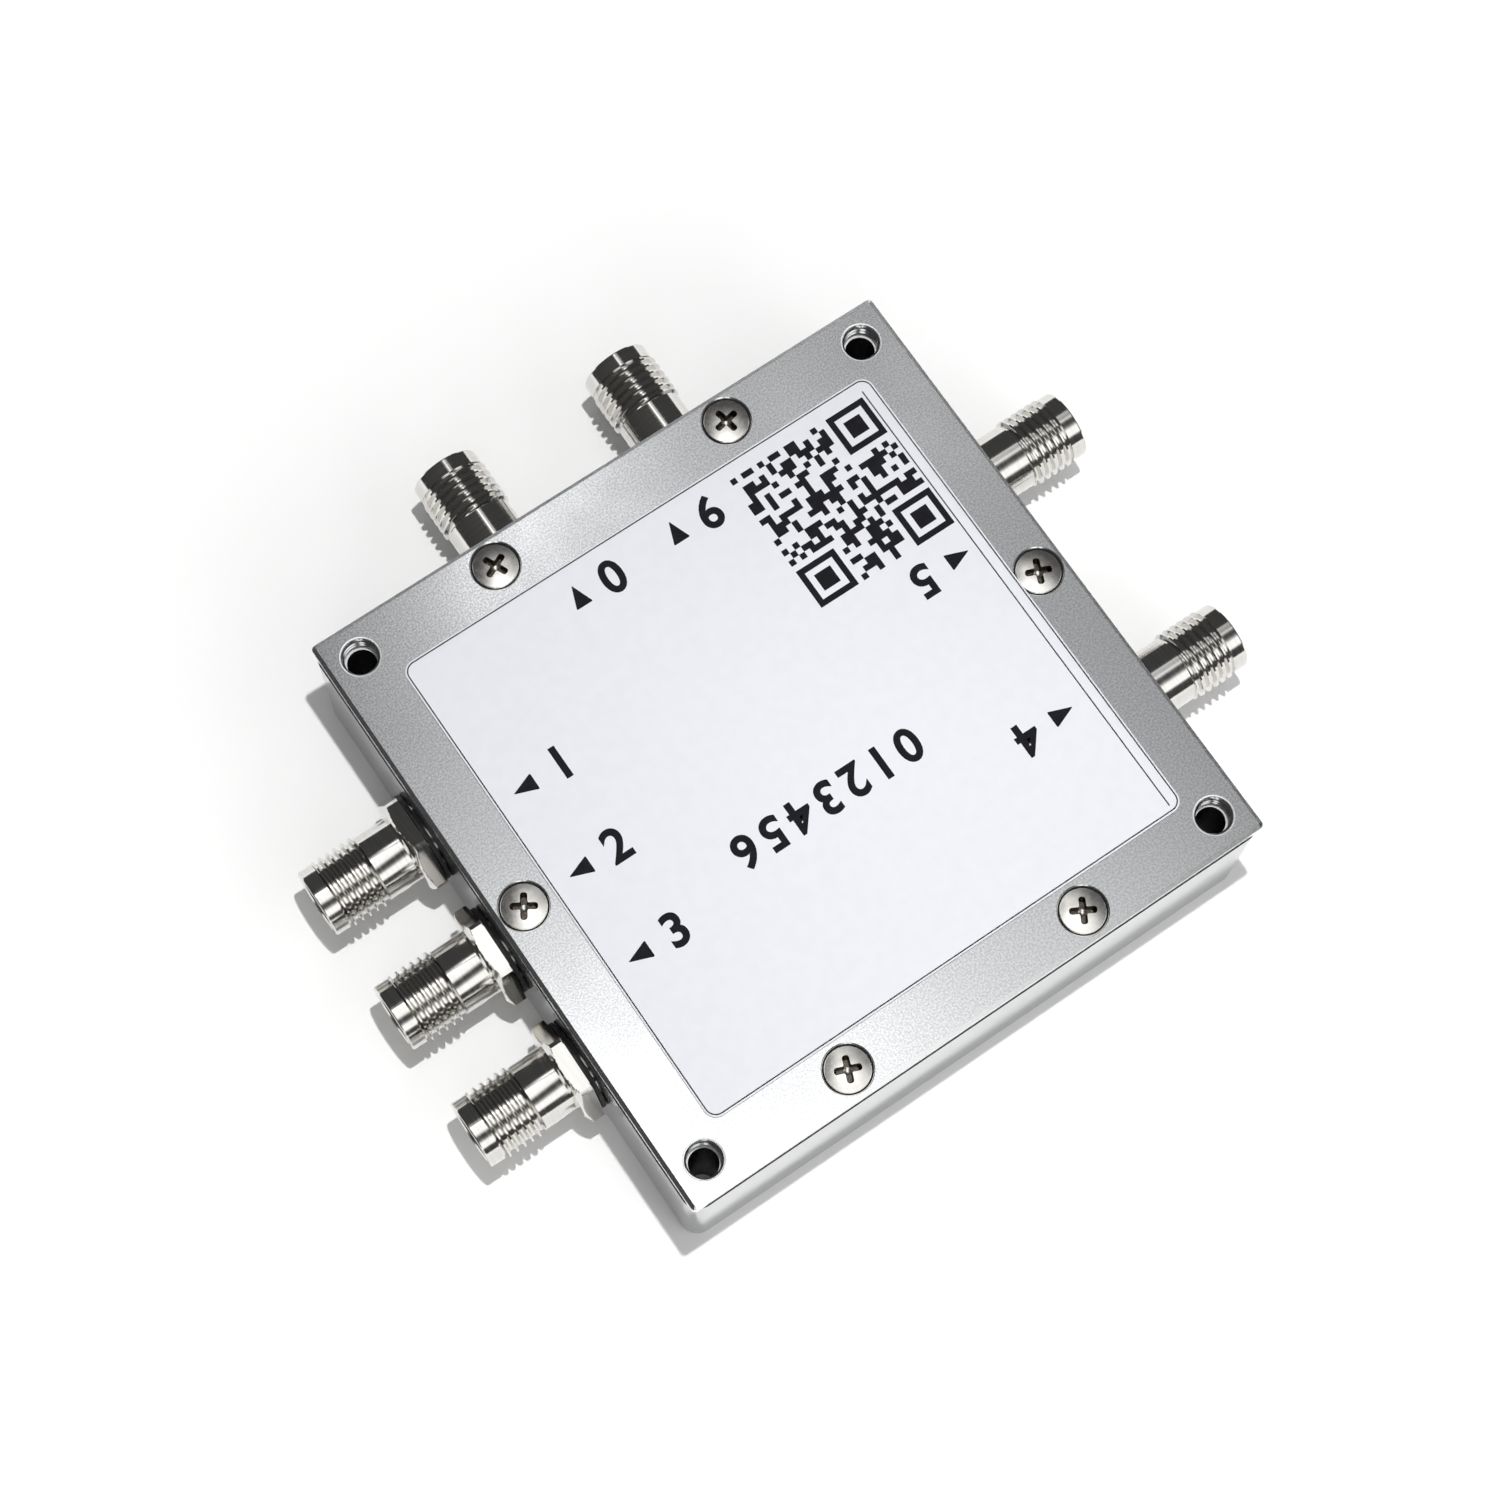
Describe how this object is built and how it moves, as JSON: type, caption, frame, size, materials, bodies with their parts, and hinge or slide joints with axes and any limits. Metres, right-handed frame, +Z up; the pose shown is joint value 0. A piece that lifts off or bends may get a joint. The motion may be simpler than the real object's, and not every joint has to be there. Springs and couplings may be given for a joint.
{
  "type": "rf power splitter",
  "caption": "Square machined aluminium box with a screwed lid and threaded coaxial jacks on three sides, which divides one radio signal among several outputs.",
  "frame": {"origin": "centre of the flat underside of the box", "axes": "+Z up through the lid; -X is the side with the three hexagon jacks; +Y is the side with the common jack"},
  "size_m": [0.075, 0.0646, 0.0147],
  "materials": {
    "housing": "bead-blasted satin",
    "label": "satin film",
    "screws": "bright plated",
    "jack_shell": "polished nickel",
    "insulator": "smooth",
    "contact": "gold plated",
    "board": "satin",
    "ferrite": "matte",
    "resistor": "matte"
  },
  "bodies": {
    "root": {"housing_base": "housing", "lid": "housing", "label": "label", "lid_screw_1": "screws", "lid_screw_2": "screws", "lid_screw_3": "screws", "lid_screw_4": "screws", "lid_screw_5": "screws", "lid_screw_6": "screws", "jack_0_body": "jack_shell", "jack_0_insulator": "insulator", "jack_0_contact": "contact", "jack_1_body": "jack_shell", "jack_1_insulator": "insulator", "jack_1_contact": "contact", "jack_1_washer": "jack_shell", "jack_2_body": "jack_shell", "jack_2_insulator": "insulator", "jack_2_contact": "contact", "jack_2_washer": "jack_shell", "jack_3_body": "jack_shell", "jack_3_insulator": "insulator", "jack_3_contact": "contact", "jack_3_washer": "jack_shell", "jack_4_body": "jack_shell", "jack_4_insulator": "insulator", "jack_4_contact": "contact", "jack_5_body": "jack_shell", "jack_5_insulator": "insulator", "jack_5_contact": "contact", "jack_6_body": "jack_shell", "jack_6_insulator": "insulator", "jack_6_contact": "contact", "circuit_board": "board", "board_screw_1": "screws", "board_screw_2": "screws", "board_screw_3": "screws", "board_screw_4": "screws", "transformer_1": "ferrite", "transformer_2": "ferrite", "transformer_3": "ferrite", "transformer_4": "ferrite", "resistor_1": "resistor", "resistor_2": "resistor", "resistor_3": "resistor", "resistor_4": "resistor", "resistor_5": "resistor", "resistor_6": "resistor"}
  },
  "joints": []
}
